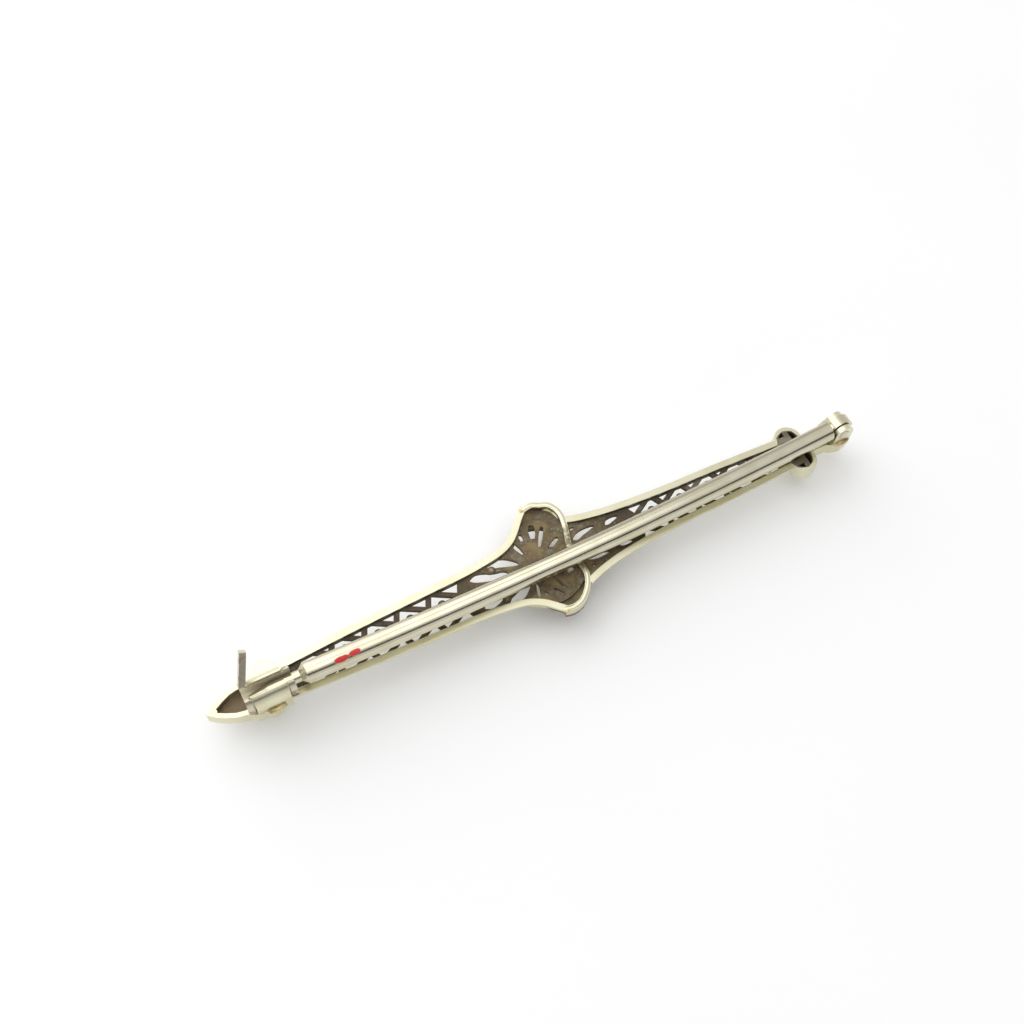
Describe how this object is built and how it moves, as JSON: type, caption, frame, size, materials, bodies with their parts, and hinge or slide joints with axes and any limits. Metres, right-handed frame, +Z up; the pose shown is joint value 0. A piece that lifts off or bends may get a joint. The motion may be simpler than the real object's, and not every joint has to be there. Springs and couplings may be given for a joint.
{
  "type": "bar brooch",
  "caption": "Slim pale gold bar brooch lying face down, with a pierced trellis, a lobed centre, a hinged pin stem and a turning safety catch.",
  "frame": {"origin": "middle of the brooch, on the table under the plain round boss in the middle of the front", "axes": "+X along the brooch from the catch to the hinge, +Z up, out of the back of the brooch"},
  "size_m": [0.063, 0.0109, 0.0076],
  "materials": {
    "pale_gold": "polished",
    "stem_metal": "polished",
    "catch_metal": "satin"
  },
  "bodies": {
    "brooch": {"body": "pale_gold", "hinge_pin": "pale_gold"},
    "stem": {"pin_stem": "stem_metal"},
    "catch": {"catch_sleeve": "catch_metal"}
  },
  "joints": [
    {"name": "stem_swing", "type": "hinge", "parent": "brooch", "child": "stem", "pos_m": [0.0297, -0.0002, 0.0045], "axis": [0, 1, 0], "range_deg": [0, 60]},
    {"name": "catch_turn", "type": "hinge", "parent": "brooch", "child": "catch", "pos_m": [-0.0263, -0.0007, 0.00465], "axis": [1, 0, 0], "range_deg": [0, 95]}
  ]
}
